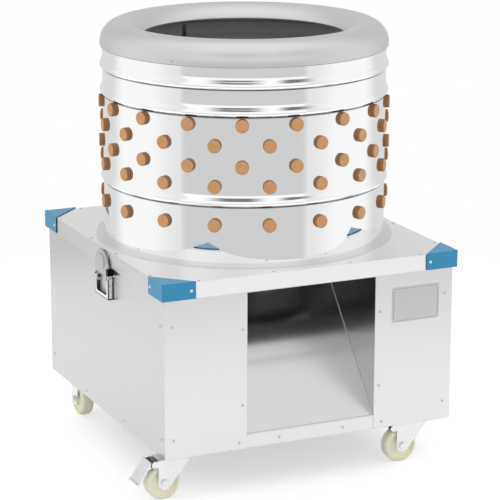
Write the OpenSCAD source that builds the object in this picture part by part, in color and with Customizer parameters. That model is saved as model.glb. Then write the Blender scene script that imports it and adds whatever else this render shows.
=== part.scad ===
// Drum poultry plucker on casters: a sheet steel cabinet with a feather chute,
// a hinged lid that carries the finger-studded drum, and a belt-driven finger plate.
// X runs to the right along the front, Y to the back, Z up. The origin is on the floor,
// below the middle of the drum. All sizes are in millimetres.

/* [Cabinet] */
// Width of the cabinet across its front
cab_w = 660; // [620:5:740]
// Depth of the cabinet from front to back
cab_d = 680; // [640:5:760]
// Height from the cabinet's underside to the top of the lid
cab_h = 371; // [350:1:420]
// Thickness of the panels, the lid, the chute and the drum floor
sheet = 2; // [1.5:0.1:2.5]
// Leg of the corner post angles
post_leg = 28; // [22:1:36]
// Thickness of the posts and the rails
frame_t = 3; // [2:0.5:4]
// Inward leg of the bottom rails
rail_leg = 40; // [30:1:60]
// Inward leg of the top ledge that carries the drum floor
ledge_w = 20; // [14:1:26]
// Thickness of the rubber seal under the lid
seal_t = 3; // [2:0.5:4]

/* [Chute] */
// Width of the feather outlet in the front
chute_w = 294; // [240:2:330]
// Height of the sill below the outlet
sill_h = 28; // [20:1:40]
// Gap between the chute's upper end and the bearing bridge
chute_gap = 21.5; // [8:0.5:40]
// Distance from the drum's axis to the front edge of the feather outlet
outlet_y = 250; // [220:2:256]
// Distance of the outlet's ends from the chute's sides
outlet_in = 17; // [10:1:40]

/* [Lid] */
// Overhang of the lid past the cabinet on each side
lid_lap = 5; // [4:0.5:7]
// Depth of the lid's skirt
lid_skirt = 34; // [30:1:40]
// Arm of a corner cap along each edge of the lid
cap_arm = 74; // [55:1:85]
// Thickness of a corner cap
cap_t = 2.2; // [1.5:0.1:3]

/* [Drum] */
// Outer diameter of the drum wall
drum_d = 608; // [596:1:618]
// Height of the drum wall above the lid
drum_h = 412; // [405:1:450]
// Thickness of the drum wall
drum_wall = 2; // [1.5:0.1:2.5]
// Width of the flange ring at the foot of the drum
flange_w = 18; // [12:1:22]
// Height that a swaged bead stands out of the wall
bead_out = 5.5; // [3:0.5:8]
// Width of a swaged bead
bead_w = 20; // [14:1:22]
// Clear diameter of the throat in the top ring
throat_d = 430; // [410:5:445]
// Radius of the top ring's outer shoulder
ring_shoulder = 43; // [36:1:48]
// Overhang of the top ring past the drum wall
ring_lap = 5; // [4:0.5:8]
// Height of the straight lip of the top ring
ring_lip = 9; // [5:1:14]

/* [Fingers] */
// Columns of fingers round the drum
finger_cols = 34; // [30:2:36]
// Angle of the first column from the front, in degrees
finger_turn = -25.2; // [-30:0.01:30]
// Height of the lowest row above the lid
row_e = 86; // [82:1:94]
// Height of the second row above the lid
row_d = 166.5; // [163:0.5:172]
// Height of the third row above the lid
row_c = 208; // [203:1:214]
// Height of the fourth row above the lid
row_b = 251.5; // [246:0.5:257]
// Height of the top row above the lid
row_a = 294; // [289:1:298]
// Diameter of a finger's head
head_d = 28; // [24:1:29]
// Height of a finger's head
head_h = 9; // [7:0.5:12]
// Diameter of a finger's neck hole
neck_d = 20; // [16:1:22]
// Length of a finger from the wall's inner face to its tip
finger_len = 88; // [80:1:88]
// Grip rings along a finger
finger_ribs = 5; // [3:1:7]

/* [Finger plate] */
// Diameter of the finger plate
rotor_d = 550; // [520:2:560]
// Thickness of the finger plate
rotor_t = 4; // [3:0.5:6]
// Height of the finger plate above the drum floor
rotor_lift = 22; // [20:1:24]
// Radius of the inner ring of plate fingers
inner_ring_r = 100; // [90:1:112]
// Fingers in the inner ring
inner_ring_n = 8; // [6:2:10]
// Radius of the outer ring of plate fingers
outer_ring_r = 175; // [168:1:180]
// Fingers in the outer ring
outer_ring_n = 14; // [10:4:18]

/* [Drive] */
// Diameter of the plate's shaft
shaft_d = 30; // [25:1:35]
// Diameter of the large pulley
pulley_d = 180; // [140:2:190]
// Diameter of the motor's pulley
motor_pulley_d = 56; // [50:2:80]
// Width of the drive belt
belt_w = 20; // [14:1:24]
// Distance from the motor's axis to the cabinet's back
motor_back = 150; // [130:2:160]
// Length of the motor's shaft below the motor bridge
motor_stub = 36; // [30:1:44]
// Length of the plate's shaft above the finger plate
shaft_stub = 14; // [10:1:18]
// Wall of the finger plate's hub
hub_wall = 14; // [10:1:18]
// Width of the hub's flange
hub_flange = 44; // [38:1:50]
// Diameter of the motor's barrel
motor_d = 124; // [110:2:130]
// Length of the motor's barrel
motor_len = 190; // [160:2:200]

/* [Casters] */
// Height of a caster from the floor to the cabinet
caster_h = 100; // [98:1:112]
// Diameter of a wheel
wheel_d = 75; // [70:1:76]
// Width of a wheel's tread
wheel_w = 30; // [26:1:34]
// Trail of a swivel caster's axle behind its kingpin
caster_trail = 40; // [36:1:44]
// Distance from the cabinet's side to a caster's middle
caster_in_x = 53; // [50:1:58]
// Distance from the cabinet's front or back to a caster's middle
caster_in_y = 54; // [50:1:58]
// Half length of a rear fork's top
rear_leg = 24; // [20:1:30]
// Lift of the right brake pedal at rest, in degrees
pedal_lift = 57; // [50:1:60]

/* [Latch] */
// Place of the latch along the left side
latch_y = -20; // [-80:5:80]
// Width of the latch's lever
lever_w = 77; // [70:1:90]
// Length of the latch's lever below its pivot
lever_len = 44; // [40:1:56]
// How far the latch stands off the cabinet
latch_out = 12; // [12:0.5:14]

/* [Hinges] */
// Distance of each hinge from the middle of the right side
hinge_y = 200; // [120:5:230]
// Width of a hinge
hinge_w = 64; // [50:2:80]
// Diameter of a hinge pin
hinge_pin_d = 5; // [4:0.5:6]

/* [Switch box] */
// Distance from the switch box's middle to the cabinet's back
switch_back = 190; // [150:5:240]
// Distance from the lid's top down to the switch box's middle
switch_drop = 171; // [140:1:200]
// Width of the switch box
switch_w = 80; // [70:2:100]
// Height of the switch box
switch_h = 120; // [100:2:140]
// Depth of the switch box
switch_depth = 42; // [34:1:48]
// Diameter of a push button
button_d = 22; // [18:1:26]
// Height that a button stands out
button_out = 8; // [6:0.5:10]
// Bore of the cable gland
gland_bore = 10; // [8:0.5:12]

/* [Fits] */
// Running clearance on a radius
run = 0.05; // [0.02:0.01:0.1]
// Clearance between faces that move past each other
gap = 0.3; // [0.2:0.05:0.5]

/* [Hidden] */
$fn = 96;

// Main levels
z_cab = caster_h;
z_lid = z_cab + cab_h;
z_skirt = z_lid - lid_skirt;
z_panel = z_lid - sheet - seal_t;
z_ledge = z_skirt - 1;
z_floor = z_ledge + sheet;
z_sill = z_cab + sill_h;
z_head = z_skirt - 3;

// Plan sizes: outer faces, inner faces and the lid
half_w = cab_w / 2;
half_d = cab_d / 2;
in_w = half_w - sheet;
in_d = half_d - sheet;
lid_x = half_w + lid_lap;
lid_y = half_d + lid_lap;

// Drum
drum_r = drum_d / 2;
drum_in = drum_r - drum_wall;
collar_r = drum_in - 6;
z_drum = z_lid + drum_h;
bead_low = (row_d + row_e) / 2 + 7;
bead_mid = row_a + head_d / 2 + bead_w / 2 + 2;
bead_top = drum_h - 36;
bead_skew = -0.35;
crest_r = drum_r + ring_lap - ring_shoulder;
z_crest = z_drum + ring_lip + ring_shoulder;

// Finger rows as [height, column parity]
ROW_A = [row_a, 0];
ROW_B = [row_b, 1];
ROW_C = [row_c, 0];
ROW_D = [row_d, 1];
ROW_E = [row_e, 1];
col_step = 360 / finger_cols;
seat_dip = drum_in - sqrt(drum_in * drum_in - head_d * head_d / 4);

// Drive levels, from the ledge down
bridge_h = 26;
bridge_t = 4;
bridge_w = 110;
housing_h = 36;
z_bridge = z_ledge - bridge_t;
z_housing = z_bridge - housing_h;
rim_t = 3;
pulley_h = belt_w + 2 * rim_t + 2;
z_pulley = z_housing - 8 - pulley_h;
belt_t = 5;
z_motor = z_pulley - 20;
motor_bridge_t = 6;
motor_y = half_d - motor_back;
motor_shaft_r = 9.5;
z_rotor = z_floor + sheet + rotor_lift;
shaft_r = shaft_d / 2;
bearing_r = shaft_r + 11;
bearing_h = 12;

// Casters
wheel_r = wheel_d / 2;
king_x = half_w - caster_in_x;
king_y = half_d - caster_in_y;
plate_t = 3;
fork_t = 3;
fork_in = wheel_w / 2 + 2;
z_race = z_cab - plate_t - 5;
z_fork = z_race - gap - 3 - fork_t;
king_r = 6;
axle_r = 5;
leg_r = 14;
pedal_px = -62;
pedal_pz = z_fork - 6;
pedal_w = 48;
pedal_t = 2.5;

// Latch, with its pivot measured from the left panel's outer face
latch_px = -half_w - latch_out + 6.5;
latch_pz = z_skirt - 26;
claw_dx = -2;
claw_dz = -12;
latch_sheet = 2;
latch_pin_r = 2.5;
lever_top = -2;
keeper_out = 2.5;
hook_gap = 0.7;

// Hinges
hinge_r = hinge_pin_d / 2 + 2.5;
hinge_x = lid_x + hinge_r + 1;
hinge_z = z_skirt - 4;
leaf_h = lid_skirt - 4;

// Switch box on the right side
switch_y = half_d - switch_back;
switch_z = z_lid - switch_drop;
switch_x = half_w + switch_depth;
button_dy = switch_w / 4;
gland_len = 24;

// Chute profile, in Y and Z
chute_y0 = -in_d + frame_t;
chute_y1 = -bridge_w / 2 - chute_gap;
chute_slope = atan((z_ledge - z_sill) / (chute_y1 - chute_y0));

// Shared shapes

// A box between two corners
module box(a, b) {
    translate(a) cube(b - a);
}

// The same shape on both sides of the YZ plane
module both_x() {
    children();
    mirror([1, 0, 0]) children();
}

// The same shape on both sides of the XZ plane
module both_y() {
    children();
    mirror([0, 1, 0]) children();
}

// A flat shape drawn in Y and Z, given a width along X and centred
module across_x(width) {
    rotate([90, 0, 90]) translate([0, 0, -width / 2]) linear_extrude(width) children();
}

// A flat shape drawn in X and Z, given a width along Y and centred
module across_y(width) {
    rotate([90, 0, 0]) translate([0, 0, -width / 2]) linear_extrude(width) children();
}

// A rectangle with round corners, centred
module round_rect(w, h, r) {
    square([w - 2 * r, h], center = true);
    square([w, h - 2 * r], center = true);
    for (x = [-1, 1])
        for (y = [-1, 1])
            translate([x * (w / 2 - r), y * (h / 2 - r)]) circle(r);
}

// A rectangular ring of angle section round the inside of the panels
module angle_ring(z0, z1, wall, leg, leg_t, leg_at) {
    difference() {
        box([-in_w, -in_d, z0], [in_w, in_d, z1]);
        box([wall - in_w, wall - in_d, z0 - 1], [in_w - wall, in_d - wall, leg_at]);
        box([wall - in_w, wall - in_d, leg_at + leg_t], [in_w - wall, in_d - wall, z1 + 1]);
        box([leg - in_w, leg - in_d, z0 - 1], [in_w - leg, in_d - leg, z1 + 1]);
    }
}

// Cabinet

module bottom_frame() {
    gusset = caster_in_x + 60;
    color("silver") {
        angle_ring(z_cab, z_sill, frame_t, rail_leg, frame_t, z_cab);
        both_x() both_y()
            box([in_w - gusset, in_d - gusset, z_cab], [in_w - 1, in_d - 1, z_cab + frame_t]);
    }
}

module corner_posts() {
    color("silver") both_x() both_y() difference() {
        box([in_w - post_leg, in_d - post_leg, z_sill], [in_w, in_d, z_ledge]);
        box([in_w - post_leg - 1, in_d - post_leg - 1, z_sill - 1],
            [in_w - frame_t, in_d - frame_t, z_ledge + 1]);
    }
}

module top_frame() {
    color("silver") angle_ring(z_ledge, z_panel, frame_t, ledge_w, sheet, z_ledge);
}

module side_panel() {
    box([in_w, -in_d, z_cab], [half_w, in_d, z_panel]);
}

module left_panel() {
    color("gainsboro") mirror([1, 0, 0]) side_panel();
}

module right_panel() {
    color("gainsboro") side_panel();
}

module back_panel() {
    slots = 7;
    slot_pitch = 16;
    slot_l = 130;
    color("gainsboro") difference() {
        box([-half_w, in_d, z_cab], [half_w, half_d, z_panel]);
        for (i = [0 : slots - 1])
            translate([0, half_d, z_cab + 60 + i * slot_pitch])
                across_y(4 * sheet) round_rect(slot_l, 6, 2.9);
    }
}

// A front panel beside the outlet, on the right
module front_panel() {
    box([chute_w / 2, -half_d, z_cab], [half_w, -in_d, z_panel]);
}

module front_left_panel() {
    color("gainsboro") mirror([1, 0, 0]) front_panel();
}

module front_right_panel() {
    color("gainsboro") front_panel();
}

module front_sill() {
    color("gainsboro")
        box([-chute_w / 2, -half_d + sheet / 2, z_cab], [chute_w / 2, -in_d, z_sill]);
}

module front_header() {
    color("gainsboro")
        box([-chute_w / 2, -half_d, z_head], [chute_w / 2, -in_d, z_panel]);
}

// Sloped floor with a flat lip over the sill
module chute_floor() {
    slant = sheet / sin(chute_slope);
    color("gainsboro") across_x(chute_w - 2 * gap) polygon([
        [-half_d, z_sill],
        [chute_y0, z_sill],
        [chute_y1, z_ledge],
        [chute_y1 - slant, z_ledge],
        [chute_y0 - slant + sheet / tan(chute_slope), z_sill + sheet],
        [-half_d, z_sill + sheet]
    ]);
}

// Side walls of the chute, each with a flange behind the front panel
module chute_sides() {
    below = 14;
    flange = 20;
    color("gainsboro") both_x() {
        translate([chute_w / 2 + sheet / 2, 0, 0]) across_x(sheet) polygon([
            [-in_d, z_sill],
            [-in_d, z_ledge],
            [chute_y1 + below, z_ledge],
            [chute_y0 + below, z_sill]
        ]);
        box([chute_w / 2, -in_d, z_sill], [chute_w / 2 + flange, -in_d + sheet, z_ledge]);
    }
}

// Floor under the finger plate, with the feather outlet and a rolled collar
module drum_floor() {
    edge = frame_t + gap;
    outlet_r = collar_r - sheet - 8;
    color("gainsboro") difference() {
        union() {
            box([edge - in_w, edge - in_d, z_floor], [in_w - edge, in_d - edge, z_floor + sheet]);
            translate([0, 0, z_floor]) cylinder(r = collar_r, h = z_panel - z_floor);
        }
        translate([0, 0, z_floor + sheet]) cylinder(r = collar_r - sheet, h = lid_skirt);
        translate([0, 0, z_floor - 1]) cylinder(r = shaft_r + 6, h = 2 * sheet);
        intersection() {
            box([outlet_in - chute_w / 2, -outlet_y, z_floor - 1],
                [chute_w / 2 - outlet_in, chute_y1 - 2 * sheet, z_floor + 2 * sheet]);
            translate([0, 0, z_floor - 1]) cylinder(r = outlet_r, h = 4 * sheet);
        }
    }
}

module lid_seal() {
    color("dimgray") difference() {
        box([-half_w, -half_d, z_panel], [half_w, half_d, z_panel + seal_t]);
        box([frame_t - in_w, frame_t - in_d, z_panel - 1],
            [in_w - frame_t, in_d - frame_t, z_panel + seal_t + 1]);
    }
}

// Pan head of a screw or rivet, its flat face on the XY plane
module pan_head(d, h) {
    rotate_extrude() intersection() {
        translate([0, h - (d * d / 4 + h * h) / (2 * h)]) circle((d * d / 4 + h * h) / (2 * h));
        square([d, h]);
    }
}

// Screws through the front and side panels into the posts and flanges
module panel_screws() {
    screw_d = 7;
    screw_h = 2;
    edge = 18;
    inner = chute_w / 2 + 11;
    low = z_cab + 14;
    color("silver") {
        both_x() for (p = [[half_w - edge, z_skirt - 57], [half_w - edge, z_cab + 40],
                           [inner, z_skirt - 80], [inner, z_cab + 95], [inner + 7, low]])
            translate([p[0], -half_d, p[1]]) rotate([90, 0, 0]) pan_head(screw_d, screw_h);
        both_x() translate([chute_w / 4, -half_d + sheet / 2, low]) rotate([90, 0, 0])
            pan_head(screw_d, screw_h);
        both_x() for (y = [edge - half_d, half_d - edge])
            for (z = [z_skirt - 57, z_cab + 40])
                translate([half_w, y, z]) rotate([0, 90, 0]) pan_head(screw_d, screw_h);
        both_x() for (y = [-half_d / 3, half_d / 3])
            translate([half_w, y, low]) rotate([0, 90, 0]) pan_head(screw_d, screw_h);
        both_x() for (z = [z_skirt - 57, z_cab + 40])
            translate([half_w - edge, half_d, z]) rotate([-90, 0, 0]) pan_head(screw_d, screw_h);
    }
}

// Drive

// Channel across the cabinet, open below
module channel(w, h, t, z_top) {
    difference() {
        box([-in_w, -w / 2, z_top - h], [in_w, w / 2, z_top]);
        box([-in_w - 1, t - w / 2, z_top - h - 1], [in_w + 1, w / 2 - t, z_top - t]);
    }
}

module bearing_bridge() {
    color("slategray") difference() {
        channel(bridge_w, bridge_h, bridge_t, z_ledge);
        translate([0, 0, z_bridge - 1]) cylinder(r = shaft_r + 6, h = bridge_t + 2);
    }
}

module bearing_housing() {
    flange_side = bridge_w - 2 * bridge_t - 6;
    flange_t = 8;
    color("dimgray") translate([0, 0, z_housing]) difference() {
        union() {
            cylinder(r = bearing_r + 8, h = housing_h);
            translate([0, 0, housing_h - flange_t]) linear_extrude(flange_t)
                round_rect(flange_side, flange_side, 12);
        }
        translate([0, 0, -1]) cylinder(r = bearing_r - 4, h = housing_h + 2);
        translate([0, 0, -1]) cylinder(r = bearing_r, h = bearing_h + 1);
        translate([0, 0, housing_h - bearing_h]) cylinder(r = bearing_r, h = bearing_h + 1);
    }
}

module shaft_bearings() {
    color("silver") for (z = [z_housing, z_bridge - bearing_h])
        translate([0, 0, z]) rotate_extrude() difference() {
            translate([shaft_r + run, 0]) square([bearing_r - shaft_r - 2 * run, bearing_h]);
            translate([(bearing_r + shaft_r) / 2, 0]) square([3, 2], center = true);
            translate([(bearing_r + shaft_r) / 2, bearing_h]) square([3, 2], center = true);
        }
}

// Outline of a belt round two pulleys, grown past their rims
module belt_outline(grow) {
    r1 = pulley_d / 2 + grow;
    r2 = motor_pulley_d / 2 + grow;
    a = acos((r1 - r2) / motor_y);
    circle(r1);
    translate([0, motor_y]) circle(r2);
    polygon([
        [r1 * sin(a), r1 * cos(a)],
        [r2 * sin(a), motor_y + r2 * cos(a)],
        [-r2 * sin(a), motor_y + r2 * cos(a)],
        [-r1 * sin(a), r1 * cos(a)]
    ]);
}

module drive_belt() {
    color("black") translate([0, 0, z_pulley + rim_t + 1]) linear_extrude(belt_w) difference() {
        belt_outline(gap + belt_t);
        belt_outline(gap);
    }
}

// Motor hung under its bridge, shaft up: flange, finned barrel, fan cover and terminal box
module motor() {
    r = motor_d / 2;
    flange_t = 10;
    cover = 34;
    fins = 20;
    z_top = z_motor - motor_bridge_t;
    z_low = z_top - motor_len;
    color("steelblue") {
        difference() {
            union() {
                translate([0, motor_y, z_top - flange_t]) cylinder(r = r + 6, h = flange_t);
                translate([0, motor_y, z_low]) cylinder(r = r, h = cover);
                translate([0, motor_y, z_low]) cylinder(r = r - 10, h = motor_len - 1);
                for (i = [0 : fins - 1])
                    translate([0, motor_y, 0]) rotate([0, 0, i * 360 / fins])
                        box([r - 12, -1.5, z_low + cover - 1], [r - 2, 1.5, z_top - flange_t + 1]);
                box([r - 16, motor_y - 30, z_low + cover + 30],
                    [r + 26, motor_y + 30, z_top - flange_t - 36]);
            }
            translate([0, motor_y, z_top - 40]) cylinder(r = motor_shaft_r + run, h = 60);
        }
    }
}

module motor_bridge() {
    w = motor_d + 30;
    color("slategray") difference() {
        translate([0, motor_y, 0]) channel(w, bridge_h, motor_bridge_t, z_motor);
        translate([0, motor_y, z_motor - motor_bridge_t - 1]) cylinder(r = 24, h = motor_bridge_t + 2);
    }
}

// A flat belt pulley with rims, a web and a hub
module pulley(d, bore_r) {
    r = d / 2;
    hub_r = bore_r + 9;
    web = 8;
    rotate_extrude() difference() {
        union() {
            translate([bore_r, 0]) square([r - bore_r, pulley_h]);
            translate([r - 1, 0]) square([belt_t + 2, rim_t]);
            translate([r - 1, pulley_h - rim_t]) square([belt_t + 2, rim_t]);
        }
        if (r - hub_r > 20) {
            translate([hub_r, -1]) square([r - 10 - hub_r, (pulley_h - web) / 2 + 1]);
            translate([hub_r, (pulley_h + web) / 2]) square([r - 10 - hub_r, pulley_h]);
        }
    }
}

module driven_pulley() {
    color("dimgray") translate([0, 0, z_pulley]) pulley(pulley_d, shaft_r + run);
}

// Motor pulley on the end of the motor's shaft
module motor_pulley() {
    low = z_motor - motor_bridge_t - motor_stub;
    color("dimgray") translate([0, motor_y, 0]) {
        translate([0, 0, z_pulley]) pulley(motor_pulley_d, motor_shaft_r - 1);
        translate([0, 0, low]) cylinder(r = motor_shaft_r, h = z_pulley + pulley_h + 4 - low);
    }
}

// Finger plate

module rotor_shaft() {
    low = z_pulley - 8;
    color("silver") translate([0, 0, low]) cylinder(r = shaft_r, h = z_rotor + rotor_t + shaft_stub - low);
}

module rotor_hub() {
    hub_h = rotor_lift - 6;
    color("dimgray") translate([0, 0, z_rotor - hub_h]) rotate_extrude() {
        translate([shaft_r + run, 0]) square([hub_wall, hub_h]);
        translate([shaft_r + run, hub_h - 6]) square([hub_flange, 6]);
    }
}

function ring_angle(n, i) = i * 360 / n;

module finger_rings() {
    for (ring = [[inner_ring_r, inner_ring_n], [outer_ring_r, outer_ring_n]])
        for (i = [0 : ring[1] - 1])
            rotate([0, 0, ring_angle(ring[1], i)]) translate([ring[0], 0, 0]) children();
}

// Plate with a turned-down edge, finger holes and two sweepers under it
module rotor_plate() {
    r = rotor_d / 2;
    edge = 8;
    sweeper_t = 4;
    sweeper_in = inner_ring_r + head_d;
    color("silver") difference() {
        union() {
            translate([0, 0, z_rotor]) rotate_extrude() {
                translate([shaft_r + run, 0]) square([r - shaft_r - run - 3, rotor_t]);
                translate([r - 3, rotor_t - 3]) intersection() {
                    circle(3);
                    square(3);
                }
                translate([r - 3, -edge]) square([3, edge + rotor_t - 3]);
            }
            for (s = [-1, 1])
                translate([0, s * (sweeper_in + r - 12) / 2, 0])
                    box([-sweeper_t / 2, (sweeper_in - r + 12) / 2, z_floor + sheet + 2],
                        [sweeper_t / 2, (r - 12 - sweeper_in) / 2, z_rotor + 1]);
        }
        finger_rings() translate([0, 0, z_rotor - 1]) cylinder(d = neck_d, h = rotor_t + 2);
    }
}

module rotor_fingers() {
    color("sandybrown") finger_rings() translate([0, 0, z_rotor]) rotate([180, 0, 0]) finger(rotor_t + run);
}

module rotor_nut() {
    nut_r = shaft_r + 9;
    color("silver") translate([0, 0, z_rotor + rotor_t]) difference() {
        union() {
            cylinder(r = nut_r, h = 10, $fn = 6);
            translate([0, 0, 10]) intersection() {
                sphere(r = nut_r - 3);
                cylinder(r = nut_r, h = nut_r);
            }
        }
        translate([0, 0, -1]) cylinder(r = shaft_r + run, h = 16);
    }
}

// Rubber plucking finger along Z: the head stands above the XY plane, the neck passes a
// wall of the given thickness below it, and the ribbed finger hangs under that
module finger(wall) {
    edge = 3;
    shoulder_r = neck_d / 2 + 3;
    shoulder_h = 6;
    root_r = neck_d / 2 + 1;
    tip_r = 7.5;
    rib = 1.2;
    first = 26;
    pitch = (finger_len - first - 12) / finger_ribs;
    function body_r(s) = root_r + (tip_r - root_r) * s / finger_len;
    rotate_extrude($fn = 48) {
        square([head_d / 2 - edge, head_h]);
        square([head_d / 2, head_h - edge]);
        translate([head_d / 2 - edge, head_h - edge]) intersection() {
            circle(edge);
            square(edge);
        }
        translate([0, -wall]) square([neck_d / 2 - run, wall + 1]);
        translate([0, -wall - shoulder_h]) square([shoulder_r, shoulder_h]);
        polygon(concat(
            [[0, -wall], [root_r, -wall]],
            [for (i = [0 : finger_ribs - 1])
                for (p = [[0, 0], [0.25, rib], [0.6, rib], [0.85, 0]])
                    let (s = first + (i + p[0]) * pitch)
                    [body_r(s) + p[1], -wall - s]],
            [[body_r(finger_len - tip_r), tip_r - wall - finger_len], [0, tip_r - wall - finger_len]]
        ));
        translate([0, tip_r - wall - finger_len]) intersection() {
            circle(body_r(finger_len - tip_r));
            translate([0, -tip_r]) square([2 * tip_r, tip_r]);
        }
    }
}

// Lid and drum

module lid() {
    color("gainsboro") difference() {
        box([-lid_x, -lid_y, z_skirt], [lid_x, lid_y, z_lid]);
        box([sheet - lid_x, sheet - lid_y, z_skirt - 1], [lid_x - sheet, lid_y - sheet, z_lid - sheet]);
        translate([0, 0, z_skirt]) cylinder(r = drum_in, h = 2 * lid_skirt);
    }
}

// Corner cap: two skirt arms under a triangular top
module corner_caps() {
    x1 = lid_x + cap_t;
    y1 = lid_y + cap_t;
    color("steelblue") both_x() both_y() difference() {
        translate([0, 0, z_skirt]) linear_extrude(lid_skirt + cap_t)
            polygon([[x1, y1], [x1 - cap_arm, y1], [x1, y1 - cap_arm]]);
        box([0, 0, z_skirt - 1], [lid_x, lid_y, z_lid]);
    }
}

module cap_rivets() {
    in = 12;
    mid = z_lid - lid_skirt / 2;
    color("silver") both_x() both_y() {
        translate([lid_x - cap_arm + in, lid_y + cap_t, mid]) rotate([-90, 0, 0]) pan_head(7, 2);
        translate([lid_x + cap_t, lid_y - cap_arm + in, mid]) rotate([0, 90, 0]) pan_head(7, 2);
    }
}

module drum_flange() {
    color("gainsboro") translate([0, 0, z_lid]) rotate_extrude()
        translate([drum_r + run, 0]) square([flange_w, sheet]);
}

// How far the wall bulges at a height above the lid
function bulge(z, mid) =
    let (s = 2 * (z - mid) / bead_w)
    abs(s) >= 1 ? 0
    : s > bead_skew ? bead_out * (1 + cos(180 * (s - bead_skew) / (1 - bead_skew))) / 2
    : bead_out * (1 - pow((bead_skew - s) / (1 + bead_skew), 2));

// Points up the wall past its beads, set in from the outer face
function wall_points(inset) = concat(
    [[drum_r - inset, 0]],
    [for (mid = [bead_low, bead_mid, bead_top])
        for (i = [-6 : 6])
            let (z = mid + i * bead_w / 12)
            [drum_r - inset + bulge(z, mid), z]],
    [[drum_r - inset, drum_h]]
);

function reversed(list) = [for (i = [len(list) - 1 : -1 : 0]) list[i]];

module drum_shell() {
    color("gainsboro") translate([0, 0, z_lid]) difference() {
        rotate_extrude() polygon(concat(wall_points(0), reversed(wall_points(drum_wall))));
        for (row = [ROW_A, ROW_B, ROW_C, ROW_D, ROW_E])
            on_row(row) translate([0, 0, -10]) cylinder(d = neck_d, h = 20);
    }
}

// Domed ring on the drum: a straight lip, a round shoulder, an inward slope and rolled edges
module top_ring() {
    lip_r = drum_r + ring_lap;
    run_in = crest_r - throat_d / 2;
    drop = run_in * 0.54;
    slope_r = (run_in * run_in + drop * drop) / (2 * drop);
    roll = 3.5;
    color("gainsboro") rotate_extrude() {
        translate([lip_r - drum_wall, z_drum]) square([drum_wall, ring_lip]);
        translate([crest_r, z_crest - ring_shoulder]) intersection() {
            difference() {
                circle(ring_shoulder);
                circle(ring_shoulder - drum_wall);
            }
            square(ring_shoulder);
        }
        translate([crest_r, z_crest - slope_r]) intersection() {
            difference() {
                circle(slope_r);
                circle(slope_r - drum_wall);
            }
            translate([-run_in, 0]) square([run_in, slope_r]);
        }
        translate([drum_r - drum_wall, z_drum]) square([ring_lap + drum_wall, drum_wall]);
        translate([lip_r - roll, z_drum + roll]) circle(roll);
        translate([throat_d / 2 + roll, z_crest - drop - roll / 2]) circle(roll);
    }
}

// Children at each finger place of a row, with +Z pointing out of the drum
module on_row(row) {
    for (k = [row[1] : 2 : finger_cols - 1])
        rotate([0, 0, finger_turn + k * col_step])
            translate([0, -drum_r, row[0]]) rotate([90, 0, 0]) children();
}

module finger_row(row) {
    color("sandybrown") translate([0, 0, z_lid]) on_row(row) finger(drum_wall + seat_dip + run);
}

module finger_row_a() {
    finger_row(ROW_A);
}

module finger_row_b() {
    finger_row(ROW_B);
}

module finger_row_c() {
    finger_row(ROW_C);
}

module finger_row_d() {
    finger_row(ROW_D);
}

module finger_row_e() {
    finger_row(ROW_E);
}

// Latch

// Base on the left panel: a plate and two ears, each with a headed stub for the lever
module latch_base() {
    ear_r = latch_pin_r + 1.5;
    ear_y = lever_w / 2 - 2 * latch_sheet - gap;
    head_y = lever_w / 2 + gap;
    color("silver") translate([0, latch_y, 0]) {
        box([-half_w - latch_sheet, -ear_y, latch_pz - lever_len + 2 * latch_sheet],
            [-half_w, ear_y, latch_pz + 12]);
        both_y() translate([0, ear_y - latch_sheet / 2, 0]) across_y(latch_sheet) {
            translate([latch_px, latch_pz]) circle(ear_r);
            translate([latch_px, latch_pz - ear_r]) square([-half_w - latch_px, 2 * ear_r]);
        }
        both_y() translate([latch_px, ear_y - 2 * latch_sheet, latch_pz]) rotate([-90, 0, 0]) {
            cylinder(r = latch_pin_r, h = head_y + 0.5 - ear_y + 2 * latch_sheet);
            translate([0, 0, head_y - ear_y + 2 * latch_sheet]) cylinder(r = latch_pin_r + 1, h = 1.5);
        }
    }
}

// Lever: a stamped channel, open in the middle, hung from the base's stubs
module latch_lever() {
    bar = 9;
    foot = 8;
    eye_r = latch_pin_r + 2.5;
    face_x = -half_w - latch_out;
    low = latch_pz - lever_len;
    color("silver") translate([0, latch_y, 0]) difference() {
        union() {
            both_y() translate([0, lever_w / 2 - latch_sheet / 2, 0]) across_y(latch_sheet) {
                translate([latch_px, latch_pz]) circle(eye_r);
                translate([face_x, low]) square([latch_out - gap, lever_len - 7]);
                translate([face_x, latch_pz - 8]) square([latch_px + eye_r - face_x, 8]);
            }
            box([face_x, -lever_w / 2, low], [face_x + latch_sheet, lever_w / 2, latch_pz + lever_top]);
            box([face_x, -lever_w / 2, low], [face_x + latch_out - gap, lever_w / 2, low + latch_sheet]);
        }
        translate([face_x, 0, low + foot + lever_len / 2]) rotate([0, 90, 0])
            linear_extrude(10, center = true)
            round_rect(lever_len, lever_w - 2 * bar, 5);
        translate([latch_px, 0, latch_pz]) rotate([90, 0, 0])
            cylinder(r = latch_pin_r + run, h = 2 * lever_w, center = true);
        translate([latch_px + claw_dx, 0, latch_pz + claw_dz]) rotate([90, 0, 0])
            cylinder(r = 2, h = 2 * lever_w, center = true);
    }
}

// Outline of the claw's plate, with a round top, drawn in by an inset
module claw_outline(inset) {
    low = latch_pz + 6.5;
    dome = (lever_w - 2) / 2;
    high = z_lid - 2;
    translate([inset - dome, low]) square([2 * (dome - inset), high - dome - low]);
    intersection() {
        translate([0, high - dome]) circle(dome - inset);
        translate([-dome, low]) square([2 * dome, high - low]);
    }
}

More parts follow.
